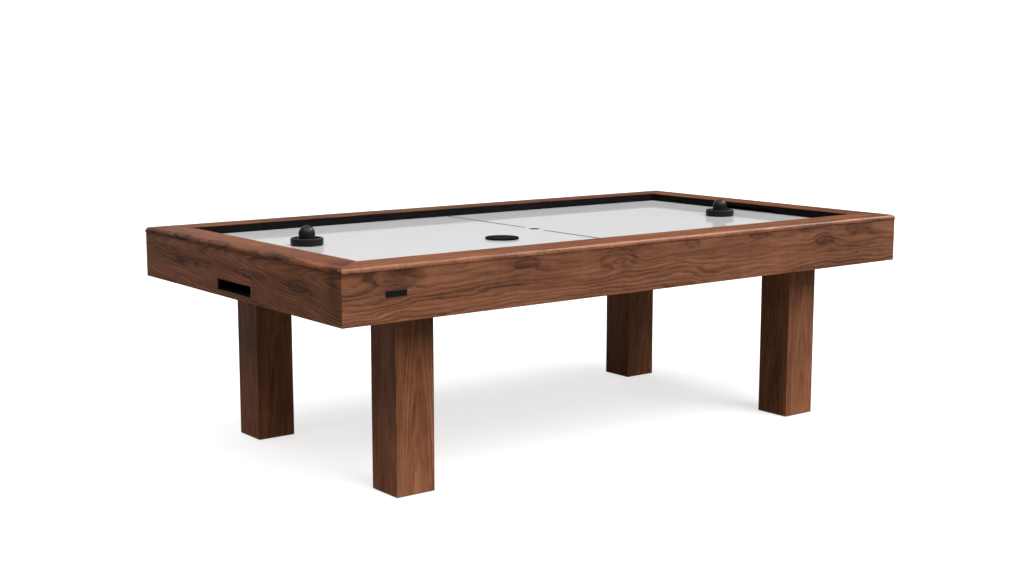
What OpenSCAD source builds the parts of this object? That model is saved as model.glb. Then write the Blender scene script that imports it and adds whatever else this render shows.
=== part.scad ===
// Home air hockey table: a wooden cabinet on four boxed legs, with a sunken playing field over an air
// plenum, a blower hung underneath, two goals with puck returns, two mallets and a puck.
// Origin: centre of the table on the floor. X runs along the length, Y across, Z up. Millimetres.

/* [Cabinet] */
// Length over the apron boards
apron_l = 2618; // [2560:1:2680]
// Width over the apron boards
apron_w = 1430; // [1400:1:1470]
// Height of the table, from the floor to the top of the rails
table_h = 813; // [800:1:840]
// Depth of the cabinet, from the top of the rails to the lower edge of the aprons
cabinet_h = 186; // [182:1:196]
// Thickness of the apron boards
board_t = 19; // [18:0.5:20]

/* [Top rails] */
// Thickness of the top rails
rail_t = 19; // [18:0.5:22]
// Overhang of the rails past the aprons
rail_lip = 3; // [2:0.5:6]
// Radius of the round-over on the outer edge
rail_round = 17; // [6:1:17]
// Radius on the inner edge
rail_inner_round = 2; // [1:0.5:2.5]
// Width of the side rails, from the apron face to the inner edge
side_rail_w = 120.5; // [118:0.5:124]
// Width of the end rails, from the apron face to the inner edge
end_rail_w = 132; // [130:0.5:136]
// Wood left above the black edging
wood_edge = 2.6; // [2:0.1:4]

/* [Rink] */
// Depth of the field below the top of the rails
field_depth = 33; // [32:0.5:34]
// Height of the puck banks
bank_h = 16; // [15.5:0.5:16]
// Thickness of the puck banks
bank_t = 33; // [30:1:34]
// Thickness of the black edging let into the rails
edging_t = 5; // [4:0.5:6]
// Setback of the edging face from the bank face
edging_setback = 1.5; // [1:0.25:2]
// Width of the goal mouths
goal_w = 328; // [300:1:332]
// Width of the puck return slots
slot_w = 244; // [220:1:246]
// Height of the puck return slots
slot_h = 39; // [36:1:40]
// Height of the slots above the lower edge of the aprons
slot_rise = 20; // [19:1:22]

/* [Legs] */
// Side of the square legs
leg_side = 152; // [148:1:156]
// Thickness of the leg boards
leg_board_t = 19; // [18:0.5:20]
// Setback of the legs from the end aprons
leg_end_setback = 294; // [285:1:310]
// Setback of the legs from the side aprons
leg_side_setback = 158; // [150:1:170]
// Travel of the levelling feet
leveller_travel = 25; // [10:1:30]

/* [Air supply] */
// Thickness of the playing field panel
field_t = 12; // [11:0.5:13]
// Height of the air space
plenum_h = 45; // [42:1:46]
// Thickness of the plenum floor
plenum_floor_t = 9; // [9:0.5:10]
// Inside radius of the blower scroll
scroll_r = 80; // [76:1:84]
// Width of the blower scroll along its axis
scroll_w = 96; // [92:1:100]

/* [Mallets and puck] */
// Diameter of a mallet
mallet_d = 118; // [110:1:120]
// Height of a mallet with its felt
mallet_h = 71; // [68:1:76]
// Diameter of the mallet knob
knob_d = 59; // [52:1:60]
// Diameter of the puck
puck_d = 125; // [120:1:128]
// Thickness of the puck
puck_t = 7; // [6:0.5:8]

/* [Hidden] */
$fn = 48;

// cut-outs run this far past a face, so that no skin is left
cut = 1;
wood = [0.50, 0.33, 0.24];
dark_wood = [0.38, 0.24, 0.17];
pine = [0.80, 0.66, 0.46];
black = [0.10, 0.10, 0.11];
steel = [0.70, 0.71, 0.73];
white = [0.90, 0.91, 0.91];
bronze = [0.72, 0.55, 0.30];
fan_grey = [0.45, 0.46, 0.48];
red = [0.55, 0.08, 0.07];
felt_grey = [0.25, 0.25, 0.26];

// heights
cabinet_z = table_h - cabinet_h;
rail_z = table_h - rail_t;
field_z = table_h - field_depth;
field_under_z = field_z - field_t;
plenum_z = field_under_z - plenum_h;
plenum_under_z = plenum_z - plenum_floor_t;
bearer_t = 38;
bearer_z = plenum_under_z - bearer_t;
slot_z = cabinet_z + slot_rise;
bank_top_z = field_z + bank_h;
edging_gap = 0.5;

// half sizes in plan
half_l = apron_l / 2;
half_w = apron_w / 2;
rink_x = half_l - end_rail_w;
rink_y = half_w - side_rail_w;
field_x = rink_x + bank_t;
field_y = rink_y + bank_t;
inside_x = half_l - board_t;
inside_y = half_w - board_t;

// legs
leg_x = half_l - leg_end_setback - leg_side / 2;
leg_y = half_w - leg_side_setback - leg_side / 2;
leg_lift = 2;
glue_line = 0.05;
leg_hollow = leg_side - 2 * leg_board_t;
leg_corners = [[-1, -1], [1, -1], [-1, 1], [1, 1]];
top_block_h = 60;
foot_block_h = 40;

// leg bolts
bolt_pitch = 76;
bolt_r = 5;
bolt_hole_r = 5.5;
bolt_head_r = 9.8;
bolt_head_h = 6.4;
washer_r = 11;
washer_t = 2;
nut_h = 8;
counterbore_r = 13;
counterbore_h = 10;

// levelling feet
foot_pad_r = 25;
foot_pad_h = 7;
foot_recess_r = 28;
foot_recess_h = 9;
stud_r = 5;
stud_hole_r = 6;
stud_spare = 5;
foot_nut_r = 14;
foot_nut_h = 10;
stud_top_z = leg_lift + foot_block_h + foot_nut_h + leveller_travel + stud_spare;
thread_clearance = 0.05;

// goals and puck returns
chute_wall = 3;
chute_half_w = goal_w / 2 + 2;
chute_tray_x = 1140;
chute_floor_z = slot_z - 6;
chute_ceiling_z = plenum_under_z - 8;
chute_floor_rise = 20;
sleeve_wall = 2;
sleeve_setback = 1.5;
sleeve_fit = 0.2;

// blower: the axis lies along Y, and the scroll's outlet points up at the middle of the plenum
sheet_t = 2;
gasket_t = 5;
flange_t = 3;
blower_top_z = plenum_under_z - gasket_t - flange_t;
outlet_w = 96;
blower_x = scroll_r - outlet_w / 2;
blower_drop = 110;
blower_z = blower_top_z - blower_drop;
flange_l = 140;
flange_w = 126;
flange_screw_x = 61;
flange_screw_y = 54;
impeller_r = 62;
impeller_blades = 24;
impeller_w = 72;
intake_r = 50;
motor_r = 42;
motor_l = 58;
terminal_box = 24;
terminal_box_rise = 12;
shaft_r = 4;
shaft_hole_r = 7;
bushing_r = 6;
bushing_l = 10;
bushing_clearance = 0.05;
screw_r = 2.2;
screw_l = 14;
screw_head_r = 4.5;
screw_head_h = 2.6;

// power inlet and switch, behind an opening in the far apron
power_z = 735;
power_open_w = 96;
power_open_h = 52;
power_panel_w = 132;
power_panel_h = 64;
inlet_x = 22;
inlet_w = 28;
inlet_h = 21;
inlet_depth = 22;
switch_x = -26;
switch_w = 24;
switch_h = 14;
switch_depth = 20;
rocker_r = 11;
rocker_pin_r = 1.5;
lead_r = 3.5;
lead_bend_r = 16;

// name plate on the near apron
plate_x = -1111;
plate_z = 718;
plate_w = 80;
plate_h = 20;
plate_t = 1;

// mallets and puck at rest on the field, and the thin air gap under them
air_gap = 0.3;
left_mallet = [-969, 89];
right_mallet = [934, -89];
puck_place = [-301, -188];
felt_t = 2;
shell_wall = 3;

// ---------------------------------------------------------------- helpers

// a box given by its lowest and highest corners
module span(low, high) {
    translate(low) cube(high - low);
}

// the part of a mitred frame that lies on the near side, seen from above
module near_trapezoid(outer, inner) {
    polygon([
        [-outer[0], -outer[1]], [outer[0], -outer[1]],
        [inner[0], -inner[1]], [-inner[0], -inner[1]]
    ]);
}

// the part of a mitred frame that lies at the left end, seen from above
module left_trapezoid(outer, inner) {
    polygon([
        [-outer[0], -outer[1]], [-inner[0], -inner[1]],
        [-inner[0], inner[1]], [-outer[0], outer[1]]
    ]);
}

module near_mitred(outer, inner, z0, z1) {
    translate([0, 0, z0]) linear_extrude(z1 - z0) near_trapezoid(outer, inner);
}

module left_mitred(outer, inner, z0, z1) {
    translate([0, 0, z0]) linear_extrude(z1 - z0) left_trapezoid(outer, inner);
}

module to_far() { mirror([0, 1, 0]) children(); }

module to_right() { mirror([1, 0, 0]) children(); }

// points on an arc, from angle a0 to a1
function arc(centre, r, a0, a1, steps = 8) =
    [for (i = [0:steps]) let (a = a0 + (a1 - a0) * i / steps) centre + r * [cos(a), sin(a)]];

// ---------------------------------------------------------------- cabinet

module near_side_apron() {
    color(wood) near_mitred([half_l, half_w], [inside_x, inside_y], cabinet_z, rail_z);
}

module far_side_apron() {
    color(wood) difference() {
        to_far() near_mitred([half_l, half_w], [inside_x, inside_y], cabinet_z, rail_z);
        span([-power_open_w / 2, inside_y - cut, power_z - power_open_h / 2],
             [power_open_w / 2, half_w + cut, power_z + power_open_h / 2]);
        at_panel_screws() translate([0, inside_y - cut, 0]) rotate([-90, 0, 0])
            cylinder(r = screw_r, h = screw_l - sheet_t + cut);
    }
}

module left_end_apron() {
    color(dark_wood) difference() {
        left_mitred([half_l, half_w], [inside_x, inside_y], cabinet_z, rail_z);
        span([-half_l - cut, -slot_w / 2, slot_z], [-inside_x + cut, slot_w / 2, slot_z + slot_h]);
    }
}

module right_end_apron() { to_right() left_end_apron(); }

block_side = 60;
block_h = 130;
block_rise = 10;

module corner_blocks() {
    color(pine) for (c = leg_corners)
        translate([c[0] * inside_x, c[1] * inside_y, cabinet_z + block_rise])
            scale([-c[0], -c[1], 1]) linear_extrude(block_h)
                polygon([[0, 0], [block_side, 0], [0, block_side]]);
}

ledger_w = 32;
ledger_h = 30;
ledger_half_l = 1150;

module side_ledgers() {
    color(pine) for (s = [-1, 1])
        translate([-ledger_half_l, s * (inside_y - ledger_w / 2) - ledger_w / 2, bearer_z - ledger_h])
            cube([2 * ledger_half_l, ledger_w, ledger_h]);
}

cleat_side = 25;
end_cleat_from = chute_half_w + 14;
end_cleat_to = inside_y - block_side - 10;

module rail_cleats() {
    color(pine) for (s = [-1, 1]) {
        translate([-ledger_half_l, s * (inside_y - cleat_side / 2) - cleat_side / 2, rail_z - cleat_side])
            cube([2 * ledger_half_l, cleat_side, cleat_side]);
        for (t = [-1, 1])
            translate([s * (inside_x - cleat_side / 2) - cleat_side / 2,
                       t * (end_cleat_from + end_cleat_to) / 2 - (end_cleat_to - end_cleat_from) / 2,
                       rail_z - cleat_side])
                cube([cleat_side, end_cleat_to - end_cleat_from, cleat_side]);
    }
}

leg_bearer_w = 190;
mid_bearer_w = 70;
mid_bearer_x = 330;

module bearer(x, w) {
    span([x - w / 2, -inside_y, bearer_z], [x + w / 2, inside_y, bearer_z + bearer_t]);
}

module leg_bearers() {
    color(pine) for (s = [-1, 1]) difference() {
        bearer(s * leg_x, leg_bearer_w);
        for (t = [-1, 1]) translate([s * leg_x, t * leg_y, 0]) at_bolts() {
            translate([0, 0, bearer_z - cut]) cylinder(r = bolt_hole_r, h = bearer_t + 2 * cut);
            translate([0, 0, plenum_under_z - counterbore_h])
                cylinder(r = counterbore_r, h = counterbore_h + cut);
        }
    }
}

module mid_bearers() {
    color(pine) for (s = [-1, 1]) bearer(s * mid_bearer_x, mid_bearer_w);
}

// ---------------------------------------------------------------- top rails

// section of a rail: x from the outer edge inwards, y up from the underside
module rail_section(w) {
    difference() {
        square([w, rail_t]);
        difference() {
            translate([-cut, rail_t - rail_round]) square(rail_round + cut + 0.001);
            translate([rail_round, rail_t - rail_round]) circle(rail_round);
        }
        difference() {
            translate([w - rail_inner_round, rail_t - rail_inner_round]) square(rail_inner_round + cut);
            translate([w - rail_inner_round, rail_t - rail_inner_round]) circle(rail_inner_round);
        }
        translate([w - bank_t, -cut]) square([bank_t + cut, bank_top_z - rail_z + cut]);
        translate([w - edging_t, -cut]) square([edging_t + cut, rail_t - wood_edge + cut]);
    }
}

rail_outer = [half_l + rail_lip, half_w + rail_lip];

module near_top_rail() {
    color(wood) intersection() {
        translate([-rail_outer[0], -rail_outer[1], rail_z]) rotate([90, 0, 90])
            linear_extrude(apron_l + 2 * rail_lip) rail_section(side_rail_w + rail_lip);
        near_mitred(rail_outer, [rink_x, rink_y], rail_z - cut, table_h + cut);
    }
}

module left_top_rail() {
    color(wood) intersection() {
        translate([-rail_outer[0], rail_outer[1], rail_z]) rotate([90, 0, 0])
            linear_extrude(apron_w + 2 * rail_lip) rail_section(end_rail_w + rail_lip);
        left_mitred(rail_outer, [rink_x, rink_y], rail_z - cut, table_h + cut);
    }
}

module far_top_rail() { to_far() near_top_rail(); }

module right_top_rail() { to_right() left_top_rail(); }

// ---------------------------------------------------------------- rink

edging_outer = [rink_x + edging_t, rink_y + edging_t];
edging_inner = [rink_x + edging_setback, rink_y + edging_setback];
edging_z0 = bank_top_z + edging_gap;
edging_z1 = table_h - wood_edge;

module near_edging() { color(black) near_mitred(edging_outer, edging_inner, edging_z0, edging_z1); }

module far_edging() { to_far() near_edging(); }

module left_edging() { color(black) left_mitred(edging_outer, edging_inner, edging_z0, edging_z1); }

module right_edging() { to_right() left_edging(); }

module near_bank() {
    color(black) span([-field_x, -field_y, field_z], [field_x, -rink_y, bank_top_z]);
}

module far_bank() { to_far() near_bank(); }

// the end banks stop at the posts of the goal mouth
module left_bank() {
    color(black) for (s = [-1, 1])
        translate([-field_x, s * (rink_y + goal_w / 2) / 2 - (rink_y - goal_w / 2) / 2, field_z])
            cube([bank_t, rink_y - goal_w / 2, bank_h]);
}

module right_bank() { to_right() left_bank(); }

module playfield_panel() {
    color(white) span([-field_x, -field_y, field_under_z], [field_x, field_y, field_z]);
}

batten_w = 30;
end_batten_l = 2 * (field_y - batten_w - glue_line);
spacer_side = 44;
spacer_pitch = 300;

module plenum_frame() {
    color(pine) {
        for (s = [-1, 1]) {
            translate([-field_x, s * (field_y - batten_w / 2) - batten_w / 2, plenum_z])
                cube([2 * field_x, batten_w, plenum_h]);
            translate([s * (field_x - batten_w / 2) - batten_w / 2, -end_batten_l / 2, plenum_z])
                cube([batten_w, end_batten_l, plenum_h]);
        }
        for (x = [-mid_bearer_x, mid_bearer_x, -leg_x, leg_x], y = [-spacer_pitch, 0, spacer_pitch])
            translate([x - spacer_side / 2, y - spacer_side / 2, plenum_z])
                cube([spacer_side, spacer_side, plenum_h]);
    }
}

module plenum_floor() {
    color(pine) difference() {
        span([-field_x, -field_y, plenum_under_z], [field_x, field_y, plenum_z]);
        span([-outlet_w / 2, -scroll_w / 2 + sheet_t, plenum_under_z - cut],
             [outlet_w / 2, scroll_w / 2 - sheet_t, plenum_z + cut]);
        at_flange_screws() translate([0, 0, blower_top_z]) cylinder(r = screw_r, h = screw_l);
    }
}

// ---------------------------------------------------------------- goals and puck returns

// side view of the chute from the playing field out to the apron: x outwards, y up
module chute_outline(inset) {
    polygon([
        [chute_tray_x + inset, chute_floor_z + chute_floor_rise + inset],
        [inside_x - inset, chute_floor_z + inset],
        [inside_x - inset, rail_z + (inset > 0 ? cut : 0)],
        [field_x + inset, rail_z + (inset > 0 ? cut : 0)],
        [field_x + inset, chute_ceiling_z - inset],
        [chute_tray_x + inset, chute_ceiling_z - inset]
    ]);
}

chute_lip_drop = 0.5;

module right_goal_chute() {
    color(black) difference() {
        translate([0, chute_half_w + chute_wall, 0]) rotate([90, 0, 0])
            linear_extrude(2 * (chute_half_w + chute_wall)) chute_outline(0);
        translate([0, chute_half_w, 0]) rotate([90, 0, 0])
            linear_extrude(2 * chute_half_w) chute_outline(chute_wall);
        // the wall towards the field ends just below the playing surface
        span([field_x - cut, -goal_w / 2, field_z - chute_lip_drop],
             [field_x + chute_wall + cut, goal_w / 2, rail_z + cut]);
        span([inside_x - chute_wall - cut, -slot_w / 2, slot_z],
             [inside_x + cut, slot_w / 2, slot_z + slot_h]);
    }
}

module left_goal_chute() { to_right() right_goal_chute(); }

module right_slot_sleeve() {
    outer_y = slot_w / 2 - sleeve_fit;
    end_x = half_l - sleeve_setback;
    color(black) difference() {
        span([inside_x - chute_wall, -outer_y, slot_z + sleeve_fit],
             [end_x, outer_y, slot_z + slot_h - sleeve_fit]);
        span([inside_x - chute_wall - cut, sleeve_wall - outer_y, slot_z + sleeve_fit + sleeve_wall],
             [end_x + cut, outer_y - sleeve_wall, slot_z + slot_h - sleeve_fit - sleeve_wall]);
    }
}

module left_slot_sleeve() { to_right() right_slot_sleeve(); }

// ---------------------------------------------------------------- legs

// four mitred boards around a hollow, with a glue line between each two
module boxed_leg(corner) {
    half = leg_side / 2;
    color(wood) translate([corner[0] * leg_x, corner[1] * leg_y, leg_lift])
        for (a = [0:90:270]) rotate(a)
            linear_extrude(bearer_z - leg_lift)
                near_trapezoid([half - glue_line, half], [leg_hollow / 2 - glue_line, leg_hollow / 2]);
}

module leg_near_left() { boxed_leg([-1, -1]); }

module leg_near_right() { boxed_leg([1, -1]); }

module leg_far_left() { boxed_leg([-1, 1]); }

module leg_far_right() { boxed_leg([1, 1]); }

module at_bolts() {
    for (c = leg_corners) translate([c[0] * bolt_pitch / 2, c[1] * bolt_pitch / 2, 0]) children();
}

module at_legs() {
    for (c = leg_corners) translate([c[0] * leg_x, c[1] * leg_y, 0]) children();
}

module leg_block(h) {
    translate([-leg_hollow / 2, -leg_hollow / 2, 0]) cube([leg_hollow, leg_hollow, h]);
}

module leg_blocks() {
    color(pine) at_legs() {
        translate([0, 0, bearer_z - top_block_h]) difference() {
            leg_block(top_block_h);
            at_bolts() translate([0, 0, -cut]) cylinder(r = bolt_hole_r, h = top_block_h + 2 * cut);
        }
        translate([0, 0, leg_lift]) difference() {
            leg_block(foot_block_h);
            translate([0, 0, -cut]) cylinder(r = stud_hole_r, h = foot_block_h + 2 * cut);
            translate([0, 0, -cut]) cylinder(r = foot_recess_r, h = foot_recess_h + cut);
        }
    }
}

// a levelling foot: a round pad on a stud
module levelling_foot(corner) {
    color(black) translate([corner[0] * leg_x, corner[1] * leg_y, 0]) {
        cylinder(r = foot_pad_r, h = foot_pad_h);
        translate([0, 0, foot_pad_h - cut]) cylinder(r = stud_r, h = stud_top_z - foot_pad_h + cut);
    }
}

module foot_near_left() { levelling_foot([-1, -1]); }

module foot_near_right() { levelling_foot([1, -1]); }

module foot_far_left() { levelling_foot([-1, 1]); }

module foot_far_right() { levelling_foot([1, 1]); }

module foot_nuts() {
    color(steel) at_legs() translate([0, 0, leg_lift + foot_block_h]) difference() {
        cylinder(r = foot_nut_r, h = foot_nut_h);
        translate([0, 0, -cut]) cylinder(r = stud_r + thread_clearance, h = foot_nut_h + 2 * cut);
    }
}

bolt_under_head_z = plenum_under_z - counterbore_h + washer_t;
bolt_nut_z = bearer_z - top_block_h - nut_h;
bolt_end_z = bolt_nut_z - 4;

module leg_bolts() {
    color(steel) at_legs() at_bolts() {
        translate([0, 0, bolt_under_head_z]) cylinder(r = bolt_head_r, h = bolt_head_h, $fn = 6);
        translate([0, 0, bolt_end_z]) cylinder(r = bolt_r, h = bolt_under_head_z - bolt_end_z + cut);
    }
}

module leg_nuts_and_washers() {
    color(steel) at_legs() at_bolts() {
        translate([0, 0, bolt_under_head_z - washer_t]) difference() {
            cylinder(r = washer_r, h = washer_t);
            translate([0, 0, -cut]) cylinder(r = bolt_r, h = washer_t + 2 * cut);
        }
        translate([0, 0, bolt_nut_z]) difference() {
            cylinder(r = bolt_head_r, h = nut_h, $fn = 6);
            translate([0, 0, -cut]) cylinder(r = bolt_r, h = nut_h + 2 * cut);
        }
    }
}

// ---------------------------------------------------------------- blower

module at_flange_screws() {
    for (c = leg_corners) translate([c[0] * flange_screw_x, c[1] * flange_screw_y, 0]) children();
}

// side view of the scroll about its axis: a drum with a throat that rises to the outlet
module scroll_outline(wall, top) {
    circle(scroll_r + wall);
    translate([-scroll_r - wall, 0]) square([outlet_w + 2 * wall, top]);
}

// turns a side view in X and Z into a solid that runs from y0 to y1
module across_y(y0, y1) {
    translate([blower_x, y1, blower_z]) rotate([90, 0, 0]) linear_extrude(y1 - y0) children();
}

module along_y(x, z, y0, r, l) {
    translate([x, y0 + l, z]) rotate([90, 0, 0]) cylinder(r = r, h = l);
}

scroll_y = scroll_w / 2;
throat_top = blower_top_z - blower_z;

module blower_housing() {
    color(black) difference() {
        union() {
            across_y(-scroll_y + sheet_t, scroll_y) scroll_outline(sheet_t, throat_top);
            translate([-flange_l / 2, -flange_w / 2, blower_top_z])
                cube([flange_l, flange_w, flange_t]);
        }
        across_y(-scroll_y + sheet_t - cut, scroll_y - sheet_t)
            scroll_outline(0, throat_top + flange_t + cut);
        along_y(blower_x, blower_z, scroll_y - sheet_t - cut, shaft_hole_r, sheet_t + 2 * cut);
        at_flange_screws() translate([0, 0, blower_top_z - cut])
            cylinder(r = screw_r, h = flange_t + 2 * cut);
    }
}

module blower_cover() {
    color(black) difference() {
        across_y(-scroll_y, -scroll_y + sheet_t) scroll_outline(sheet_t, throat_top);
        along_y(blower_x, blower_z, -scroll_y - cut, intake_r, sheet_t + 2 * cut);
    }
}

guard_t = 2;
guard_bar = 3;
guard_rings = [16, 34, intake_r + 5];
guard_bars_from = 14;
guard_bars_to = intake_r + 3.5;

// a stamped finger guard: rings joined by bars
module intake_guard() {
    color(steel) translate([blower_x, -scroll_y, blower_z]) rotate([90, 0, 0]) linear_extrude(guard_t) {
        for (r = guard_rings) difference() {
            circle(r);
            circle(r - guard_bar);
        }
        for (a = [45:90:315]) rotate(a)
            translate([guard_bars_from, -guard_bar / 2])
                square([guard_bars_to - guard_bars_from, guard_bar]);
    }
}

module blower_gasket() {
    color(black) difference() {
        translate([-flange_l / 2, -flange_w / 2, plenum_under_z - gasket_t])
            cube([flange_l, flange_w, gasket_t]);
        span([-outlet_w / 2, -scroll_w / 2 + sheet_t, plenum_under_z - gasket_t - cut],
             [outlet_w / 2, scroll_w / 2 - sheet_t, plenum_under_z + cut]);
        at_flange_screws() translate([0, 0, blower_top_z]) cylinder(r = screw_r, h = screw_l);
    }
}

end_boss = 6;
end_boss_r = 14;
lead_x = inlet_x;
lead_end_y = scroll_y + motor_l / 2;
lead_end_z = blower_z + motor_r + terminal_box_rise;

module blower_motor() {
    color(steel) difference() {
        union() {
            along_y(blower_x, blower_z, scroll_y, motor_r, motor_l);
            along_y(blower_x, blower_z, scroll_y + motor_l - cut, end_boss_r, end_boss + cut);
            span([lead_x - terminal_box / 2, lead_end_y - terminal_box / 2, blower_z + motor_r / 2],
                 [lead_x + terminal_box / 2, lead_end_y + terminal_box / 2, lead_end_z]);
        }
        along_y(blower_x, blower_z, scroll_y - cut, bushing_r, motor_l + end_boss + 2 * cut);
    }
}

module motor_bushings() {
    color(bronze) for (y = [scroll_y, scroll_y + motor_l + end_boss - bushing_l]) difference() {
        along_y(blower_x, blower_z, y, bushing_r, bushing_l);
        along_y(blower_x, blower_z, y - cut, shaft_r + bushing_clearance, bushing_l + 2 * cut);
    }
}

shaft_end = 10;
shaft_y0 = -scroll_y + shaft_end;
shaft_y1 = scroll_y + motor_l + shaft_end;

module motor_shaft() {
    color(steel) along_y(blower_x, blower_z, shaft_y0, shaft_r, shaft_y1 - shaft_y0);
}

disc_t = 2;
hub_r = 10;
hub_l = 22;
ring_t = 3;
ring_w = 12;
blade_w = 10;
blade_t = 1.2;
blade_from = impeller_r - 11.5;
blade_turn = -22;

// forward-curved drum: a hub and back disc, a ring in front, and blades between them
module blower_impeller() {
    front_y = shaft_y0;
    back_y = front_y + impeller_w;
    color(fan_grey) difference() {
        union() {
            along_y(blower_x, blower_z, back_y - disc_t, impeller_r, disc_t);
            along_y(blower_x, blower_z, back_y - hub_l, hub_r, hub_l - cut);
            difference() {
                along_y(blower_x, blower_z, front_y, impeller_r, ring_t);
                along_y(blower_x, blower_z, front_y - cut, impeller_r - ring_w, ring_t + 2 * cut);
            }
            for (i = [0:impeller_blades - 1])
                translate([blower_x, back_y - cut, blower_z]) rotate([90, 0, 0])
                    rotate(i * 360 / impeller_blades) translate([blade_from, 0, 0]) rotate(blade_turn)
                        cube([blade_w, blade_t, impeller_w - 2 * cut]);
        }
        along_y(blower_x, blower_z, front_y - cut, shaft_r, impeller_w + 2 * cut);
    }
}

module pan_screw() {
    translate([0, 0, -cut]) cylinder(r = screw_r, h = screw_l + cut);
    translate([0, 0, -screw_head_h]) cylinder(r = screw_head_r, h = screw_head_h);
}

module pan_screws() {
    color(steel) {
        at_flange_screws() translate([0, 0, blower_top_z]) pan_screw();
        at_panel_screws() translate([0, inside_y - sheet_t, 0]) rotate([-90, 0, 0]) pan_screw();
    }
}

// ---------------------------------------------------------------- power inlet and switch

panel_screw_x = power_panel_w / 2 - 8;
panel_screw_z = power_panel_h / 2 - 14;
bezel = 3;

module at_panel_screws() {
    for (c = leg_corners) translate([c[0] * panel_screw_x, 0, power_z + c[1] * panel_screw_z]) children();
}

module power_panel() {
    color(steel) difference() {
        span([-power_panel_w / 2, inside_y - sheet_t, power_z - power_panel_h / 2],
             [power_panel_w / 2, inside_y, power_z + power_panel_h / 2]);
        span([inlet_x - inlet_w / 2, inside_y - sheet_t - cut, power_z - inlet_h / 2],
             [inlet_x + inlet_w / 2, inside_y + cut, power_z + inlet_h / 2]);
        span([switch_x - switch_w / 2, inside_y - sheet_t - cut, power_z - switch_h / 2],
             [switch_x + switch_w / 2, inside_y + cut, power_z + switch_h / 2]);
        at_panel_screws() translate([0, inside_y + cut, 0]) rotate([90, 0, 0])
            cylinder(r = screw_r, h = sheet_t + 2 * cut);
    }
}

// a part clipped into the panel from outside: a body behind it and a wider bezel in front
module clipped_in(x, w, h, depth) {
    span([x - w / 2, inside_y - depth, power_z - h / 2], [x + w / 2, inside_y + 1, power_z + h / 2]);
    span([x - w / 2 - bezel, inside_y, power_z - h / 2 - bezel],
         [x + w / 2 + bezel, inside_y + bezel, power_z + h / 2 + bezel]);
}

socket_wall = 2;
socket_back = 4;
contact_pitch = 7;
contact_w = 2;
contact_h = 5;

module power_inlet() {
    back_y = inside_y - inlet_depth;
    half_open = [inlet_w / 2 - socket_wall, inlet_h / 2 - socket_wall];
    color(black) {
        difference() {
            clipped_in(inlet_x, inlet_w, inlet_h, inlet_depth);
            span([inlet_x - half_open[0], back_y + socket_back, power_z - half_open[1]],
                 [inlet_x + half_open[0], inside_y + bezel + cut, power_z + half_open[1]]);
        }
        // three contacts, the middle one set higher
        for (i = [-1:1])
            translate([inlet_x + i * contact_pitch - contact_w / 2, back_y + socket_back - cut,
                       power_z - (i == 0 ? 0 : 2)])
                cube([contact_w, inlet_depth - socket_back + cut - 2, contact_h]);
    }
}

rocker_gap = 0.5;
rocker_depth = 17;
switch_wall = 2;
pin_clearance = 0.05;

module switch_body() {
    half_h = switch_h / 2;
    color(black) difference() {
        clipped_in(switch_x, switch_w, switch_h, switch_depth);
        span([switch_x - rocker_r - rocker_gap, inside_y - rocker_depth, power_z - half_h + switch_wall],
             [switch_x + rocker_r + rocker_gap, inside_y + bezel + cut, power_z + half_h - switch_wall]);
        translate([switch_x, inside_y, power_z - half_h + 0.5])
            cylinder(r = rocker_pin_r + pin_clearance, h = switch_h - 1);
    }
}

rocker_tilt = 8;
rocker_h = 9.4;
pin_h = 12.4;

// the rocker turns about a vertical pin; its face is a shallow V, with one wing pressed in
module switch_rocker() {
    wing = rocker_r - 1;
    color(red) translate([switch_x, inside_y, power_z]) {
        translate([0, 0, -rocker_h / 2]) rotate(-rocker_tilt) linear_extrude(rocker_h)
            polygon([[-wing, -2], [0, -6], [wing, -2], [wing, 4.5], [0, 2.6], [-wing, 4.5]]);
        translate([0, 0, -pin_h / 2]) cylinder(r = rocker_pin_r, h = pin_h);
    }
}

// the lead from the inlet to the motor: straight runs with a round bend between each two
lead_start_y = inside_y - inlet_depth;
lead_stub = 6;
lead_drop_y = lead_start_y - lead_stub - lead_bend_r;
lead_run_z = plenum_under_z - 14;

module bend(centre, turn) {
    translate(centre) rotate([90, 0, 90]) rotate(turn)
        rotate_extrude(angle = 90) translate([lead_bend_r, 0]) circle(lead_r);
}

module motor_lead() {
    color(black) {
        // back from the inlet, then down past the plenum
        along_y(lead_x, power_z, lead_start_y - lead_stub, lead_r, lead_stub);
        bend([lead_x, lead_drop_y + lead_bend_r, power_z - lead_bend_r], 90);
        translate([lead_x, lead_drop_y, lead_run_z + lead_bend_r])
            cylinder(r = lead_r, h = power_z - lead_run_z - 2 * lead_bend_r);
        bend([lead_x, lead_drop_y - lead_bend_r, lead_run_z + lead_bend_r], 270);
        // under the plenum floor towards the blower, then down into the terminal box
        along_y(lead_x, lead_run_z, lead_end_y + lead_bend_r, lead_r,
                lead_drop_y - 2 * lead_bend_r - lead_end_y);
        bend([lead_x, lead_end_y + lead_bend_r, lead_run_z - lead_bend_r], 90);
        translate([lead_x, lead_end_y, lead_end_z])
            cylinder(r = lead_r, h = lead_run_z - lead_bend_r - lead_end_z);
    }
}

// ---------------------------------------------------------------- trim

module name_plate() {
    color(black) span([plate_x - plate_w / 2, -half_w - plate_t, plate_z - plate_h / 2],
                      [plate_x + plate_w / 2, -half_w, plate_z + plate_h / 2]);
}

// ---------------------------------------------------------------- mallets and puck

mallet_r = mallet_d / 2;
knob_r = knob_d / 2;
knob_z = mallet_h - knob_r;
base_edge = 1.5;
rim_z = 26.6;
rim_round = 3;
rim_bevel = 0.9;
rim_inner_r = mallet_r - 8;
moat_z = 12;
moat_outer_r = mallet_r - 11.5;
moat_under_z = moat_z - shell_wall;
knob_inner_r = knob_r - shell_wall - 1.5;

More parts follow.
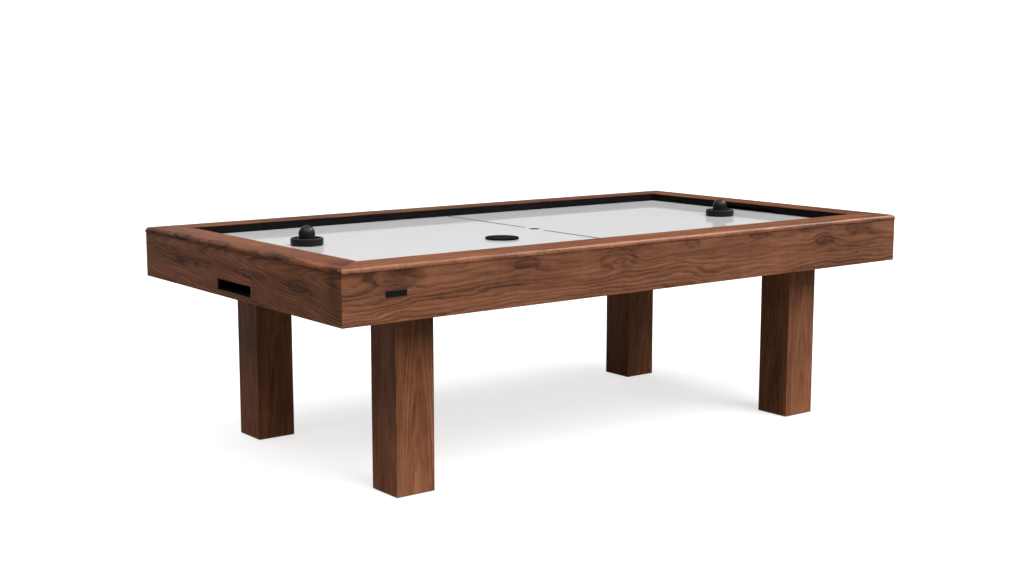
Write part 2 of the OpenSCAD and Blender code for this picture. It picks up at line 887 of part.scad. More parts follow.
// half section of the shell: radius, height above the field. The knob has straight sides under a ball top.
function mallet_outside() = concat(
    [[mallet_r - base_edge, felt_t], [mallet_r, felt_t + base_edge], [mallet_r, rim_z - rim_round]],
    [[mallet_r - rim_bevel, rim_z - rim_bevel], [mallet_r - rim_round, rim_z], [rim_inner_r, rim_z]],
    [[moat_outer_r, moat_z + 2], [moat_outer_r - 2.5, moat_z]],
    [[knob_r + 6, moat_z], [knob_r, moat_z + 6]],
    arc([0, knob_z], knob_r, 0, 75, 5),
    [[0, mallet_h]]
);

function mallet_inside() = [
    [0, mallet_h - shell_wall - 1], [0.55 * knob_r, mallet_h - 9.5],
    [knob_inner_r, knob_z + 6], [knob_inner_r, moat_under_z + 2],
    [knob_r + 3, moat_under_z], [mallet_r - 12, moat_under_z],
    [mallet_r - shell_wall - 1.5, moat_z + 6], [mallet_r - shell_wall, felt_t], [0, felt_t]
];

module on_field(place) {
    translate([place[0], place[1], field_z + air_gap]) children();
}

module mallet_shell(place) {
    color(black) on_field(place) rotate_extrude($fn = 96) difference() {
        polygon(concat([[0, felt_t]], mallet_outside()));
        polygon(mallet_inside());
    }
}

module mallet_felt(place) {
    color(felt_grey) on_field(place) cylinder(r = mallet_r - 2, h = felt_t);
}

module left_mallet_shell() { mallet_shell(left_mallet); }

module left_mallet_felt() { mallet_felt(left_mallet); }

module right_mallet_shell() { mallet_shell(right_mallet); }

module right_mallet_felt() { mallet_felt(right_mallet); }

puck_edge_r = 1.5;

module puck() {
    r = puck_d / 2;
    color(black) on_field(puck_place) rotate_extrude($fn = 96)
        polygon(concat(
            [[0, 0]],
            arc([r - puck_edge_r, puck_edge_r], puck_edge_r, -90, 0, 4),
            arc([r - puck_edge_r, puck_t - puck_edge_r], puck_edge_r, 0, 90, 4),
            [[0, puck_t]]
        ));
}

near_side_apron();
far_side_apron();
left_end_apron();
right_end_apron();
corner_blocks();
side_ledgers();
rail_cleats();
leg_bearers();
mid_bearers();
near_top_rail();
far_top_rail();
left_top_rail();
right_top_rail();
near_edging();
far_edging();
left_edging();
right_edging();
near_bank();
far_bank();
left_bank();
right_bank();
playfield_panel();
plenum_frame();
plenum_floor();
left_goal_chute();
right_goal_chute();
left_slot_sleeve();
right_slot_sleeve();
leg_near_left();
leg_near_right();
leg_far_left();
leg_far_right();
leg_blocks();
foot_near_left();
foot_near_right();
foot_far_left();
foot_far_right();
foot_nuts();
leg_bolts();
leg_nuts_and_washers();
blower_housing();
blower_cover();
intake_guard();
blower_gasket();
blower_motor();
motor_bushings();
motor_shaft();
blower_impeller();
pan_screws();
power_panel();
power_inlet();
switch_body();
switch_rocker();
motor_lead();
name_plate();
left_mallet_shell();
left_mallet_felt();
right_mallet_shell();
right_mallet_felt();
puck();
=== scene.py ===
"""Looks of the air hockey table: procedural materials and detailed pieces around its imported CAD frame."""
import math

import bmesh
import bpy
from mathutils import Matrix, Vector


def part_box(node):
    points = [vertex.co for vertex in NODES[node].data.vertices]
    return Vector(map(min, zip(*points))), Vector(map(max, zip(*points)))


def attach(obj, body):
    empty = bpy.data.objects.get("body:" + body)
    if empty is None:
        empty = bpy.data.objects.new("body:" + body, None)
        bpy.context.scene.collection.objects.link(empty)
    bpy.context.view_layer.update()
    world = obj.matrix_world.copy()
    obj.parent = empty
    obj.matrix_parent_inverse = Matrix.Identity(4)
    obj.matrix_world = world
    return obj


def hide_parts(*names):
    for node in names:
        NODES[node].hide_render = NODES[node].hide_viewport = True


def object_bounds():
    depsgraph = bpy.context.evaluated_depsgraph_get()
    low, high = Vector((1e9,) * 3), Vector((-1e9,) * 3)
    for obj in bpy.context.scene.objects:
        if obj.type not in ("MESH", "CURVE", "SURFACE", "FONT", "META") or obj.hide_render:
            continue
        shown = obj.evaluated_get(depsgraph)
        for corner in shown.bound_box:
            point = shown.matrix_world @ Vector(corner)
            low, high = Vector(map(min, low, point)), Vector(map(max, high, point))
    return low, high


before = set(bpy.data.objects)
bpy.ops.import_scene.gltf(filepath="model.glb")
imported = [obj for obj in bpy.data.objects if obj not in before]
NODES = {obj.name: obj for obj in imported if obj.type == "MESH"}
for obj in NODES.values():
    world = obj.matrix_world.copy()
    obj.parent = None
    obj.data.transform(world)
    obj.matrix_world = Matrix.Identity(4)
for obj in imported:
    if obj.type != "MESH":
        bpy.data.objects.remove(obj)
cad_box = [list(corner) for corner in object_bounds()]

MM = 0.001
# two points closer than this are at the same place
TOUCH = 0.01 * MM
SIDES = ("near", "far", "left", "right")
CORNERS = ("near_left", "near_right", "far_left", "far_right")

# how each side lies: along its boards, in towards the rink, and how far it is turned from the near side
ALONG = {"near": Vector((1, 0, 0)), "far": Vector((-1, 0, 0)),
         "left": Vector((0, -1, 0)), "right": Vector((0, 1, 0))}
INWARD = {"near": Vector((0, 1, 0)), "far": Vector((0, -1, 0)),
          "left": Vector((1, 0, 0)), "right": Vector((-1, 0, 0))}
TURN = {"near": 0.0, "right": 90.0, "far": 180.0, "left": 270.0}
UP = Vector((0, 0, 1))


# ---------------------------------------------------------------- node graphs

class Graph:
    """Short calls for building one material. A value may be a number, a tuple or another node's socket."""

    def __init__(self, name):
        self.material = bpy.data.materials.new(name)
        self.material.use_nodes = True
        self.tree = self.material.node_tree
        self.tree.nodes.clear()
        self.shader = self.tree.nodes.new("ShaderNodeBsdfPrincipled")
        out = self.tree.nodes.new("ShaderNodeOutputMaterial")
        self.tree.links.new(self.shader.outputs[0], out.inputs["Surface"])

    def put(self, socket, value):
        if isinstance(value, bpy.types.NodeSocket):
            self.tree.links.new(value, socket)
        else:
            socket.default_value = value

    def set(self, **values):
        """Sets the shader's inputs, named with _ for each space."""
        for name, value in values.items():
            self.put(self.shader.inputs[name.replace("_", " ")], value)

    def attribute(self, name, output="Vector"):
        node = self.tree.nodes.new("ShaderNodeAttribute")
        node.attribute_name = name
        return node.outputs[output]

    def place(self):
        return self.tree.nodes.new("ShaderNodeTexCoord").outputs["Object"]

    def split(self, vector):
        node = self.tree.nodes.new("ShaderNodeSeparateXYZ")
        self.put(node.inputs[0], vector)
        return node.outputs[0], node.outputs[1], node.outputs[2]

    def join(self, x, y, z):
        node = self.tree.nodes.new("ShaderNodeCombineXYZ")
        for socket, value in zip(node.inputs, (x, y, z)):
            self.put(socket, value)
        return node.outputs[0]

    def vector(self, operation, a, b):
        node = self.tree.nodes.new("ShaderNodeVectorMath")
        node.operation = operation
        self.put(node.inputs[0], a)
        self.put(node.inputs[1], b)
        return node.outputs["Vector"]

    def math(self, operation, a, b=0.0, c=0.0):
        node = self.tree.nodes.new("ShaderNodeMath")
        node.operation = operation
        for socket, value in zip(node.inputs, (a, b, c)):
            self.put(socket, value)
        return node.outputs[0]

    def add(self, total, *others):
        for other in others:
            total = self.math("ADD", total, other)
        return total

    def times(self, product, *others):
        for other in others:
            product = self.math("MULTIPLY", product, other)
        return product

    def scaled(self, value, factor, offset=0.0):
        return self.math("MULTIPLY_ADD", value, factor, offset)

    def noise(self, vector, scale, detail=2.0, rough=0.5, warp=0.0):
        """Noise about zero, from about -0.5 to 0.5. scale is one number or one for each axis, per metre."""
        if not isinstance(scale, (int, float)):
            vector, scale = self.vector("MULTIPLY", vector, scale), 1.0
        node = self.tree.nodes.new("ShaderNodeTexNoise")
        self.put(node.inputs["Vector"], vector)
        for name, value in (("Scale", scale), ("Detail", detail), ("Roughness", rough), ("Distortion", warp)):
            self.put(node.inputs[name], value)
        return self.math("SUBTRACT", node.outputs[0], 0.5)

    def cells(self, vector, scale):
        node = self.tree.nodes.new("ShaderNodeTexVoronoi")
        self.put(node.inputs["Vector"], vector)
        self.put(node.inputs["Scale"], scale)
        return node.outputs["Distance"]

    def step(self, value, low, high, to_low=0.0, to_high=1.0):
        """Runs smoothly from to_low to to_high as value goes from low to high."""
        node = self.tree.nodes.new("ShaderNodeMapRange")
        node.interpolation_type = "SMOOTHSTEP"
        for socket, part in zip(node.inputs, (value, low, high, to_low, to_high)):
            self.put(socket, part)
        return node.outputs[0]

    def ramp(self, value, *stops):
        node = self.tree.nodes.new("ShaderNodeValToRGB")
        self.put(node.inputs[0], value)
        elements = node.color_ramp.elements
        while len(elements) < len(stops):
            elements.new(0.5)
        for element, (at, colour) in zip(elements, stops):
            element.position = at
            element.color = (*colour, 1.0)
        return node.outputs[0]

    def mix(self, amount, a, b, blend="MIX"):
        node = self.tree.nodes.new("ShaderNodeMix")
        node.data_type = "RGBA"
        node.blend_type = blend
        self.put(node.inputs[0], amount)
        for socket, value in zip((node.inputs[6], node.inputs[7]), (a, b)):
            self.put(socket, (*value, 1.0) if isinstance(value, tuple) else value)
        return node.outputs[2]

    def bump(self, height, metres):
        """Bump whose height of one stands that many metres proud."""
        node = self.tree.nodes.new("ShaderNodeBump")
        node.inputs["Strength"].default_value = 1.0
        node.inputs["Distance"].default_value = metres
        self.put(node.inputs["Height"], height)
        return node.outputs[0]


def dimmed(colour, factor):
    return tuple(min(1.0, part * factor) for part in colour)


# ---------------------------------------------------------------- walnut

WALNUT_TONES = ((0.00, (0.014, 0.005, 0.0024)),
                (0.28, (0.068, 0.024, 0.0110)),
                (0.52, (0.158, 0.060, 0.0285)),
                (0.75, (0.245, 0.100, 0.0500)),
                (1.00, (0.360, 0.165, 0.0880)))
OIL = (1.0, 0.85, 0.72)
EYE_RIM = 0.13
RIPPLE_SHARE, FLAME_SHARE = 0.20, 0.085
ROLL_START, ROLL_END = 0.6 * MM, 6.0 * MM


class Board:
    """Where a shaded point lies in its board: along it, across it and into it, from what grain() writes."""

    def __init__(self, g):
        place = g.attribute("grain")
        self.along, self.across, self.into = g.split(place)
        self.seed = g.scaled(g.attribute("board", "Fac"), 7.31)
        # far is the same place moved, so that every board shows its own stretch of the noise
        move = g.join(self.seed, g.scaled(self.seed, 1.7), g.scaled(self.seed, -2.3))
        self.far = g.vector("ADD", place, move)


def tree_rings(g, board, pith, sway, taper):
    """Wavering distance from the heart of the tree, and how squarely the face cuts the rings."""
    drift = g.scaled(g.noise(board.far, (1.3, 4.0, 4.0), 2.0), sway)
    ripple = g.scaled(g.noise(board.far, (6.0, 26.0, 26.0), 3.0), sway * RIPPLE_SHARE)
    flame = g.scaled(g.noise(board.far, (17.0, 34.0, 34.0), 2.0), sway * FLAME_SHARE)
    aside = g.math("ADD", g.scaled(board.across, 1.0, -pith[0]), drift)
    depth = g.scaled(board.into, 1.0, -pith[1])
    radius = g.math("SQRT", g.add(g.times(aside, aside), g.times(depth, depth)))
    square = g.math("DIVIDE", g.math("ABSOLUTE", aside), radius)
    return g.add(radius, g.add(ripple, flame), g.scaled(board.along, taper)), square


def swirls(g, board, radius, eyes):
    """Pushes the rings out round every eye. Returns them with the stain that the eyes leave."""
    stain = 0.0
    stray_l = g.noise(board.far, (8.0, 20.0, 20.0), 3.0, 0.55)
    stray_w = g.scaled(g.noise(board.far, (11.0, 20.0, 20.0), 3.0, 0.55), 1.1)
    for at_l, at_w, half_l, half_w, push, dark in eyes:
        from_l = g.add(g.scaled(board.along, 1.0 / half_l, -at_l / half_l), stray_l)
        from_w = g.add(g.scaled(board.across, 1.0 / half_w, -at_w / half_w), stray_w)
        fall = g.add(g.times(from_l, from_l), g.times(from_w, from_w))
        bell = g.math("EXPONENT", g.scaled(fall, -1.0))
        radius = g.add(radius, g.scaled(bell, push))
        stain = g.add(stain, g.scaled(bell, -dark))
        if push:
            rim = g.times(g.step(bell, 0.30, 0.48), g.step(bell, 0.50, 0.80, 1.0, 0.25))
            stain = g.add(stain, g.scaled(rim, -EYE_RIM))
    return radius, stain


def late_wood(g, board, radius, square, ring):
    """Dark line that ends each year's ring, and the slower change of tone over several rings."""
    turn = g.scaled(radius, 1.0 / ring)
    phase = g.math("FRACT", turn)
    line = g.times(g.step(phase, 0.20, 0.86), g.step(phase, 0.88, 1.0, 1.0, 0.0))
    this_ring = g.noise(g.join(g.math("FLOOR", turn), board.seed, 0.0), 3.7, 0.0)
    faint = g.step(g.noise(board.far, (2.2, 20.0, 20.0), 3.0), -0.20, 0.14, 0.35, 1.0)
    line = g.times(line, faint, g.scaled(this_ring, 1.1, 0.85), g.scaled(square, 0.55, 0.45))
    band = g.noise(g.join(g.scaled(turn, 0.42), board.seed, g.scaled(board.along, 1.2)), 1.0, 2.0, 0.5)
    return line, band


def walnut(name, pith, ring=9.0 * MM, sway=0.05, taper=0.02, eyes=(), tint=0.0, lines=1.0, wrap=0.0,
           polished=False, oil=0.0, roll_gloss=0.2, roll_painted_shade=0.0, painted_shade_along=0.0):
    """Walnut veneer.

    pith is where the heart of the tree lies, across the board and into it. ring is how far apart the rings
    are, sway how much they wander, taper how much they shift along the board, and lines how dark they are.
    eyes are swirls in the figure: place along and across the board, half length, half width, how far each
    pushes the rings, and how much it darkens them. tint lightens the whole board, painted_shade_along darkens
    it along its length as painted shade, and oil warms its colour. wrap is how strongly short streaks show
    where the face rolls over an edge, roll_gloss how much that edge shines, and roll_painted_shade how much
    painted shade darkens that edge. polished tints the
    sheen."""
    g = Graph(name)
    board = Board(g)
    radius, square = tree_rings(g, board, pith, sway, taper)
    stain = 0.0
    if eyes:
        radius, stain = swirls(g, board, radius, eyes)
    line, band = late_wood(g, board, radius, square, ring)
    followed = g.vector("ADD", board.far, g.join(0.0, g.scaled(radius, -0.8), 0.0))
    cloud = g.noise(board.far, (2.6, 11.0, 11.0), 4.0, 0.6)
    blotch = g.noise(followed, (9.0, 46.0, 46.0), 4.0, 0.6)
    streak = g.noise(followed, (4.0, 190.0, 190.0), 4.0, 0.62)
    fibre = g.noise(board.far, (16.0, 700.0, 700.0), 3.0, 0.65)
    pores = g.step(g.noise(board.far, (55.0, 1500.0, 1500.0), 2.0, 0.6), 0.10, 0.20)
    cross = g.noise(board.far, (60.0, 8.0, 8.0), 2.0, 0.5)

    # the tone is darkened along the board as painted shade: on the legs darker at the top under the aprons,
    # lighter towards the foot
    tone = g.add(g.scaled(cloud, 0.44, 0.57 + tint), g.scaled(board.along, -painted_shade_along))
    for part, amount in ((blotch, 0.40), (streak, 0.34), (fibre, 0.24), (cross, 0.09), (band, 0.42),
                         (line, -0.36 * lines), (pores, -0.10), (stain, 1.0)):
        tone = g.add(tone, g.scaled(part, amount))
    if wrap:
        rolled = g.step(board.into, ROLL_START, ROLL_END)
        short = g.noise(board.far, (85.0, 4.0, 0.0), 3.0, 0.7)
        # the rolled-over edge is darkened here by a fixed amount as painted shade; the short streaks are the
        # figure of the wood
        tone = g.add(tone, g.times(rolled, g.scaled(short, wrap, -roll_painted_shade)))
        g.set(Specular_Tint=(*OIL, 1.0), IOR=1.45, Specular_IOR_Level=g.scaled(rolled, roll_gloss, 0.012))
    elif polished:
        g.set(Specular_Tint=(*OIL, 1.0), IOR=1.2)
    else:
        g.set(Specular_IOR_Level=0.4, IOR=1.3)
    red = g.step(g.noise(board.far, (2.2, 14.0, 14.0), 2.0), -0.1, 0.25)
    colour = g.mix(g.scaled(red, 0.25, oil), g.ramp(tone, *WALNUT_TONES), OIL, "MULTIPLY")
    height = g.add(g.scaled(fibre, 0.5), g.scaled(pores, -0.8), g.scaled(cross, 0.5))
    g.set(Base_Color=colour, Normal=g.bump(height, 0.10 * MM),
          Roughness=g.add(g.scaled(fibre, 0.16, 0.44), g.scaled(cross, 0.12)))
    return g.material


# ---------------------------------------------------------------- other materials

def pine(name, axis):
    """Planed softwood. axis is the direction of its grain, 0 for X, 1 for Y and 2 for Z."""
    g = Graph(name)
    place = g.place()

    def stretched(along, across):
        return tuple(along if i == axis else across for i in range(3))

    warp = g.noise(place, stretched(0.9, 11.0), 2.0)
    fibre = g.noise(place, stretched(12.0, 700.0), 3.0, 0.6)
    knots = g.step(g.cells(g.vector("MULTIPLY", place, stretched(2.0, 6.0)), 1.0), 0.05, 0.11, 1.0, 0.0)
    first, second = [part for i, part in enumerate(g.split(place)) if i != axis]
    radius = g.add(g.scaled(first, 0.55), second, g.scaled(warp, 35.0 * MM))
    phase = g.math("FRACT", g.scaled(radius, 1.0 / (6.5 * MM)))
    late = g.times(g.step(phase, 0.45, 0.92), g.step(phase, 0.93, 1.0, 1.0, 0.0))
    tone = g.add(g.scaled(late, -0.42, 0.72), g.scaled(fibre, 0.24), g.scaled(warp, 0.30),
                 g.scaled(knots, -0.6))
    colour = g.ramp(tone, (0.0, (0.20, 0.08, 0.03)), (0.35, (0.46, 0.27, 0.12)), (0.8, (0.64, 0.45, 0.25)),
                    (1.0, (0.72, 0.55, 0.34)))
    g.set(Base_Color=colour, Roughness=g.scaled(fibre, 0.15, 0.62), Specular_IOR_Level=0.3,
          Normal=g.bump(g.add(g.scaled(fibre, 0.6), g.scaled(late, 0.4)), 0.15 * MM))
    return g.material


def plywood(name):
    """Sheet with a birch face; its edge shows the plies."""
    g = Graph(name)
    place = g.place()
    height = g.split(place)[2]
    veneer = g.noise(place, (1.6, 34.0, 34.0), 4.0, 0.6, 0.5)
    fibre = g.noise(place, (14.0, 600.0, 600.0), 3.0)
    plies = g.step(g.math("FRACT", g.scaled(height, 1.0 / (3.0 * MM))), 0.45, 0.55)
    tone = g.add(g.scaled(veneer, 0.5, 0.5), g.scaled(fibre, 0.25), g.scaled(plies, 0.22))
    colour = g.ramp(tone, (0.0, (0.30, 0.17, 0.08)), (0.5, (0.55, 0.38, 0.21)), (1.0, (0.70, 0.54, 0.34)))
    g.set(Base_Color=colour, Roughness=g.scaled(fibre, 0.2, 0.6), Specular_IOR_Level=0.3,
          Normal=g.bump(fibre, 0.12 * MM))
    return g.material


def moulded(name, colour, rough=0.45, grain=900.0, relief=0.04 * MM, specular=0.3, spread=0.35, ior=1.5):
    """Moulded or painted surface: fine texture, uneven sheen, and slight scuffs and dust."""
    g = Graph(name)
    place = g.place()
    fine = g.noise(place, grain, 3.0, 0.6)
    broad = g.noise(place, 7.0, 3.0, 0.6)
    scuff = g.step(g.noise(place, (60.0, 240.0, 160.0), 4.0, 0.7), 0.14, 0.26)
    tone = g.add(g.scaled(fine, spread, 0.5), g.scaled(broad, spread), g.scaled(scuff, 0.10))
    dark = dimmed(colour, 1.0 - spread)
    light = tuple(part * (1.0 + spread) + 0.002 for part in colour)
    g.set(Base_Color=g.ramp(tone, (0.2, dark), (0.8, light)), Specular_IOR_Level=specular, IOR=ior,
          Roughness=g.add(g.scaled(broad, 0.12, rough), g.scaled(scuff, 0.10)),
          Normal=g.bump(fine, relief))
    return g.material


def metal(name, colour, rough=0.35, brushed=None, spots=0.0):
    """Bare metal. Its scratches are stretched along the axis brushed, and spots are the crystals of zinc."""
    g = Graph(name)
    place = g.place()
    scratch = g.noise(place, tuple(14.0 if i == brushed else 500.0 for i in range(3)), 4.0, 0.7)
    broad = g.noise(place, 22.0, 3.0)
    crystals = g.scaled(g.cells(place, 130.0), spots)
    tone = g.add(g.scaled(scratch, 0.35, 0.5), g.scaled(broad, 0.4), crystals)
    g.set(Base_Color=g.ramp(tone, (0.1, dimmed(colour, 0.6)), (0.9, dimmed(colour, 1.2))), Metallic=1.0,
          Roughness=g.add(g.scaled(scratch, 0.22, rough), g.scaled(broad, 0.12)),
          Normal=g.bump(scratch, 0.03 * MM))
    return g.material


def laminate(name):
    """Glossy white field: a hard sheet with a faint mottle and the hair scratches of play."""
    g = Graph(name)
    place = g.place()
    mottle = g.noise(place, 260.0, 3.0, 0.6)
    broad = g.noise(place, 2.2, 3.0)
    scratch = g.add(g.step(g.noise(place, (9.0, 700.0, 300.0), 3.0, 0.7, 0.4), 0.19, 0.24),
                    g.step(g.noise(place, (620.0, 12.0, 300.0), 3.0, 0.7, 0.6), 0.20, 0.25))
    tone = g.add(g.scaled(mottle, 0.20, 0.5), g.scaled(broad, 0.25), g.scaled(scratch, -0.10))
    g.set(Base_Color=g.ramp(tone, (0.2, (0.445, 0.441, 0.442)), (0.8, (0.495, 0.491, 0.492))),
          Specular_IOR_Level=0.5, IOR=1.15,
          Roughness=g.add(g.scaled(broad, 0.03, 0.055), g.scaled(scratch, 0.08)),
          Normal=g.bump(g.add(g.scaled(mottle, 0.5), g.scaled(scratch, -0.3)), 0.004 * MM))
    return g.material


def felt(name, colour):
    g = Graph(name)
    place = g.place()
    hair = g.noise(place, 1400.0, 4.0, 0.75, 1.2)
    clump = g.noise(place, 160.0, 3.0)
    tone = g.add(g.scaled(hair, 0.6, 0.5), g.scaled(clump, 0.4))
    g.set(Base_Color=g.ramp(tone, (0.1, dimmed(colour, 0.6)), (0.9, dimmed(colour, 1.5))),
          Roughness=0.95, Specular_IOR_Level=0.1, Sheen_Weight=0.5,
          Normal=g.bump(g.add(hair, g.scaled(clump, 0.5)), 0.4 * MM))
    return g.material


def floor_finish(name):
    """Matt pale floor. The camera sees it lifted towards white, but it throws back less on the table."""
    g = Graph(name)
    fine = g.scaled(g.noise(g.place(), 60.0, 3.0), 1.0, 0.5)
    camera_ray = g.tree.nodes.new("ShaderNodeLightPath").outputs["Is Camera Ray"]
    seen = g.ramp(fine, (0.0, (0.44, 0.44, 0.44)), (1.0, (0.48, 0.48, 0.48)))
    thrown = g.ramp(fine, (0.0, (0.21, 0.207, 0.203)), (1.0, (0.25, 0.246, 0.242)))
    g.set(Base_Color=g.mix(camera_ray, thrown, seen), Roughness=0.9, Specular_IOR_Level=0.0,
          Emission_Color=(1.0, 1.0, 1.0, 1.0), Emission_Strength=g.scaled(camera_ray, 0.66))
    return g.material


# ---------------------------------------------------------------- meshes

SMOOTH_BELOW = math.radians(32.0)
BEVEL_ABOVE = math.radians(40.0)


def arc(centre, r, start, end, steps):
    """Points on an arc, in degrees."""
    turns = [math.radians(start + (end - start) * i / steps) for i in range(steps + 1)]
    return [(centre[0] + r * math.cos(t), centre[1] + r * math.sin(t)) for t in turns]


def circle(bm, x, y, z, r, count):
    return [bm.verts.new((x + px, y + py, z)) for px, py in arc((0.0, 0.0), r, 0.0, 360.0, count)[:-1]]


def join_loops(bm, first, second):
    """Quads between two closed loops of the same length. Returns them."""
    return [bm.faces.new((first[i - 1], first[i], second[i], second[i - 1])) for i in range(len(first))]


def finish_mesh(name, bm, material):
    """Turns bm into an object whose edges are smooth below the angle SMOOTH_BELOW."""
    bmesh.ops.recalc_face_normals(bm, faces=bm.faces)
    for face in bm.faces:
        face.smooth = True
    for edge in bm.edges:
        if len(edge.link_faces) == 2 and edge.calc_face_angle(0.0) > SMOOTH_BELOW:
            edge.smooth = False
    mesh = bpy.data.meshes.new(name)
    bm.to_mesh(mesh)
    bm.free()
    mesh.materials.append(material)
    piece = bpy.data.objects.new(name, mesh)
    bpy.context.scene.collection.objects.link(piece)
    piece.modifiers.new("even_normals", "WEIGHTED_NORMAL").keep_sharp = True
    return piece


def stand_for(piece, body, slot, *nodes):
    """The piece rides on body and replaces the nodes. slot is not used."""
    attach(piece, body)
    if nodes:
        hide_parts(*nodes)


def dress(node, material, edge=0.0, segments=2):
    """Gives a CAD node its material, and softens its edges by that many millimetres."""
    piece = NODES[node]
    piece.data.materials.clear()
    piece.data.materials.append(material)
    if edge:
        weld = piece.modifiers.new("weld", "WELD")
        weld.merge_threshold = TOUCH
        bevel = piece.modifiers.new("soft_edges", "BEVEL")
        bevel.width = edge * MM
        bevel.segments = segments
        bevel.limit_method = "ANGLE"
        bevel.angle_limit = BEVEL_ABOVE
        bevel.harden_normals = True


def grain(bm, length, width, depth, origin, seed, faces=None):
    """Writes each corner's place in its board, as the attributes that Board reads.

    length, width and depth are the board's own axes, and origin is the middle of its face side."""
    place = bm.loops.layers.float_vector.get("grain") or bm.loops.layers.float_vector.new("grain")
    board = bm.loops.layers.float.get("board") or bm.loops.layers.float.new("board")
    for face in faces or bm.faces:
        for loop in face.loops:
            from_origin = loop.vert.co - origin
            loop[place] = Vector((from_origin.dot(length), from_origin.dot(width), from_origin.dot(depth)))
            loop[board] = seed


def lathe(name, profile, centre, material, segments=128):
    """Turned piece from a half section of radius and height above centre, from the axis round to the axis."""
    bm = bmesh.new()
    x, y, z = centre
    rings = []
    for r, height in profile:
        if r < TOUCH:
            rings.append([bm.verts.new((x, y, z + height))])
        else:
            rings.append(circle(bm, x, y, z + height, r, segments))
    for low, high in zip(rings, rings[1:]):
        if len(low) > 1 and len(high) > 1:
            join_loops(bm, low, high)
            continue
        tip, rim = (low[0], high) if len(low) == 1 else (high[0], low)
        for k in range(segments):
            bm.faces.new((tip, rim[k - 1], rim[k]))
    return finish_mesh(name, bm, material)


# ---------------------------------------------------------------- camera, light, floor

# the camera that the photo was taken with, in metres, degrees and, for the lens and its sensor, millimetres
CAMERA_PLACE = (-3.624, -4.602, 1.4455)
CAMERA_DOWN, CAMERA_HEADING = 8.747, 37.357
CAMERA_LENS, CAMERA_SENSOR = 52.65, 36.0

# name, azimuth, elevation, strength and spread, then whether it gives highlights only
SUNS = (("key", 14.0, 44.0, 3.15, 40.0, False),
        ("overhead", -10.0, 80.0, 1.75, 70.0, False),
        ("edge", 80.0, 43.0, 4.0, 18.0, True),
        ("softbox", -31.0, 62.0, 1.2, 22.0, True),
        ("fill", -78.0, 54.0, 1.15, 28.0, False),
        ("back", 172.0, 34.0, 0.8, 60.0, False),
        ("low", 42.0, 20.0, 0.30, 40.0, False))


def add_camera():
    data = bpy.data.cameras.new("camera")
    data.lens = CAMERA_LENS
    data.sensor_width = CAMERA_SENSOR
    data.dof.use_dof = False
    data.clip_end = 200.0
    camera = bpy.data.objects.new("camera", data)
    bpy.context.scene.collection.objects.link(camera)
    camera.location = CAMERA_PLACE
    camera.rotation_euler = (math.radians(90.0 - CAMERA_DOWN), 0.0, math.radians(-CAMERA_HEADING))
    bpy.context.scene.camera = camera


def add_sun(name, azimuth, elevation, strength, spread, only_gloss):
    """In degrees, azimuth 0 shines from -Y, and 90 from +X."""
    data = bpy.data.lights.new(name, "SUN")
    data.energy = strength
    data.angle = math.radians(spread)
    lamp = bpy.data.objects.new(name, data)
    bpy.context.scene.collection.objects.link(lamp)
    lamp.visible_diffuse = not only_gloss
    lamp.rotation_euler = (math.radians(90.0 - elevation), 0.0, math.radians(azimuth))


def add_panel(name, place, size, radiance):
    """Soft upright panel that faces the table, unseen by the camera itself."""
    data = bpy.data.lights.new(name, "AREA")
    data.shape = "RECTANGLE"
    data.size, data.size_y = size
    data.energy = radiance * math.pi * size[0] * size[1]
    lamp = bpy.data.objects.new(name, data)
    bpy.context.scene.collection.objects.link(lamp)
    lamp.location = place
    lamp.rotation_euler = Vector((place[0], place[1], 0.0)).to_track_quat("Z", "Y").to_euler()
    lamp.visible_camera = False


def add_world(to_camera, to_object):
    """White surroundings, of one strength for the camera and another for the table."""
    world = bpy.data.worlds.new("studio")
    bpy.context.scene.world = world
    world.use_nodes = True
    tree = world.node_tree
    background = tree.nodes["Background"]
    path = tree.nodes.new("ShaderNodeLightPath")
    level = tree.nodes.new("ShaderNodeMapRange")
    tree.links.new(path.outputs["Is Camera Ray"], level.inputs["Value"])
    level.inputs["To Min"].default_value = to_object
    level.inputs["To Max"].default_value = to_camera
    tree.links.new(level.outputs[0], background.inputs["Strength"])
    background.inputs["Color"].default_value = (1.0, 1.0, 1.0, 1.0)


def add_floor():
    bm = bmesh.new()
    bmesh.ops.create_grid(bm, x_segments=8, y_segments=8, size=60.0)
    floor = finish_mesh("studio_floor", bm, floor_finish("studio_floor"))
    floor.location.z = cad_box[0][2] - 0.5 * MM


def build_studio():
    add_camera()
    add_world(to_camera=1.1, to_object=0.09)
    for sun in SUNS:
        add_sun(*sun)
    add_panel("backdrop_glow", place=(6.6, 8.8, 2.2), size=(11.0, 3.4), radiance=0.50)
    add_floor()
    bpy.context.scene.view_settings.view_transform = "Standard"


# ---------------------------------------------------------------- boards with mitred ends

def corner_turns(half_l, half_w, round_r, d, steps):
    """Plan points of a frame member's right end, at depth d behind its outer face, from straight to mitre."""
    inner_spacing = 0.4 * MM
    points = []
    for i in range(steps + 1):
        if d < round_r:
            turn = math.radians(45.0 * i / steps)
            points.append((half_l - round_r + (round_r - d) * math.sin(turn),
                           -(half_w - round_r) - (round_r - d) * math.cos(turn)))
        else:
            points.append((half_l - d - (steps - i) * inner_spacing, -(half_w - d)))
    return points


